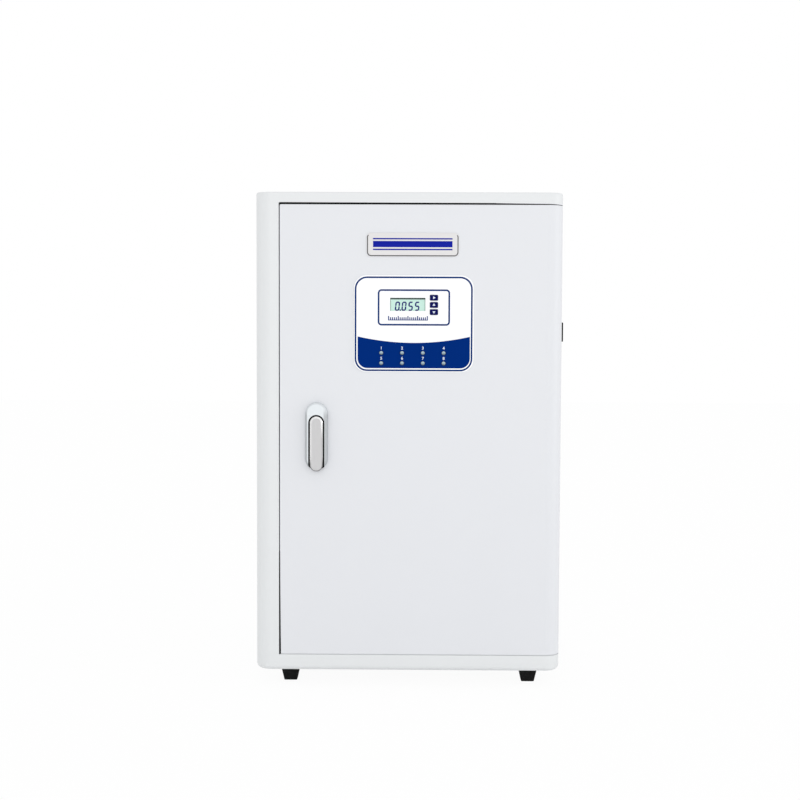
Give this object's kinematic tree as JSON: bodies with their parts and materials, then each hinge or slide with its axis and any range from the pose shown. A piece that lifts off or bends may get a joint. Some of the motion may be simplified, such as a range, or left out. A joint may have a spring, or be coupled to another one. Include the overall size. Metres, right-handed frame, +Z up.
{
  "type": "laboratory water purifier",
  "caption": "White sheet-steel bench cabinet on rubber feet, with a wrap-round hinged door, control panel and flip-out handle, holding the filters and pump that purify laboratory water.",
  "frame": {"origin": "middle of the footprint, on the surface that the feet stand on", "axes": "+Z up, -Y out of the door, +X to the right as seen from the front"},
  "size_m": [0.4178, 0.4504, 0.6682],
  "materials": {
    "white_paint": "fine textured white powder coat",
    "zinc_steel": "zinc plated steel",
    "black_rubber": "matt black rubber",
    "nylon": "natural white nylon",
    "black_plastic": "black moulded plastic",
    "head_blue": "blue moulded polypropylene",
    "clear_bowl": "clear moulded plastic",
    "spun_fibre": "wound white polypropylene fibre",
    "carbon_block": "pressed carbon",
    "white_plastic": "white moulded polypropylene",
    "amber_resin": "amber resin beads",
    "pump_black": "black painted metal",
    "rotor_iron": "laminated iron",
    "supply_case": "filled metal-skinned case",
    "brass_block": "machined brass",
    "blue_tube": "blue polyethylene tube",
    "plate_plastic": "pale raised plate",
    "overlay_film": "printed polycarbonate overlay",
    "display_glass": "pale green display",
    "lamp_lens": "unlit clear-grey lamps",
    "circuit_board": "green lacquered board",
    "grey_plastic": "light grey moulded plastic",
    "satin_metal": "satin silver die casting",
    "key_navy": "navy keys"
  },
  "bodies": {
    "cabinet": {"base_panel": "white_paint", "left_side_panel": "white_paint", "right_side_panel": "white_paint", "top_panel": "white_paint", "back_panel": "white_paint", "back_panel_screws": "zinc_steel", "rubber_feet": "black_rubber", "upper_hinge_bracket": "zinc_steel", "lower_hinge_bracket": "zinc_steel", "hinge_pins": "zinc_steel", "magnet_catch": "black_plastic", "chassis_plate": "zinc_steel", "filter_bracket": "zinc_steel", "sediment_filter_head": "head_blue", "carbon_filter_head": "head_blue", "sediment_filter_sump": "clear_bowl", "carbon_filter_sump": "clear_bowl", "sediment_cartridge": "spun_fibre", "carbon_cartridge": "carbon_block", "sump_seals": "black_rubber", "membrane_housing": "white_plastic", "membrane_cap": "white_plastic", "membrane_element": "white_plastic", "resin_column": "clear_bowl", "resin_caps": "white_plastic", "resin_bed": "amber_resin", "housing_clips": "nylon", "conductivity_cell": "nylon", "pump_plate": "zinc_steel", "pump_mounts": "black_rubber", "pump_head": "pump_black", "pump_motor": "pump_black", "power_supply": "supply_case", "inlet_valve": "brass_block", "valve_coil": "black_plastic", "bulkhead_fittings": "nylon", "bulkhead_nuts": "nylon", "power_inlet": "black_plastic", "valve_tube": "blue_tube", "pump_inlet_tube": "blue_tube", "pump_outlet_tube": "blue_tube", "permeate_tube": "blue_tube", "rear_tubes": "blue_tube", "switch_frame": "black_plastic"},
    "door": {"door_panel": "white_paint", "door_bushes": "nylon", "name_plate": "plate_plastic", "control_overlay": "overlay_film", "lcd_module": "display_glass", "indicator_leds": "lamp_lens", "control_board": "circuit_board", "control_cover": "grey_plastic", "handle_plate": "satin_metal", "lever_pin": "zinc_steel"},
    "handle_lever": {"handle_lever": "satin_metal"},
    "key_right": {"key_right": "key_navy"},
    "key_up": {"key_up": "key_navy"},
    "key_down": {"key_down": "key_navy"},
    "power_rocker": {"power_rocker": "black_plastic"},
    "pump_rotor": {"pump_rotor": "rotor_iron"}
  },
  "joints": [
    {"name": "door_hinge", "type": "hinge", "parent": "cabinet", "child": "door", "pos_m": [0.1841, -0.19535, 0.34825], "axis": [0, 0, 1], "range_deg": [0, 110]},
    {"name": "handle_flip", "type": "hinge", "parent": "door", "child": "handle_lever", "pos_m": [-0.126, -0.22115, 0.3644], "axis": [-1, 0, 0], "range_deg": [0, 40], "stiffness_Nm_per_rad": 0.1},
    {"name": "power_switch", "type": "hinge", "parent": "cabinet", "child": "power_rocker", "pos_m": [0.2031, -0.15699, 0.4826], "axis": [0, 1, 0], "range_deg": [0, 16]},
    {"name": "pump_spin", "type": "hinge", "parent": "cabinet", "child": "pump_rotor", "pos_m": [-0.03823, -0.0103, 0.0757], "axis": [1, 0, 0], "continuous": true},
    {"name": "key_right_press", "type": "slide", "parent": "door", "child": "key_right", "axis": [0, 1, 0], "range_m": [0, 0.0008], "stiffness_N_per_m": 800},
    {"name": "key_up_press", "type": "slide", "parent": "door", "child": "key_up", "axis": [0, 1, 0], "range_m": [0, 0.0008], "stiffness_N_per_m": 800},
    {"name": "key_down_press", "type": "slide", "parent": "door", "child": "key_down", "axis": [0, 1, 0], "range_m": [0, 0.0008], "stiffness_N_per_m": 800}
  ]
}
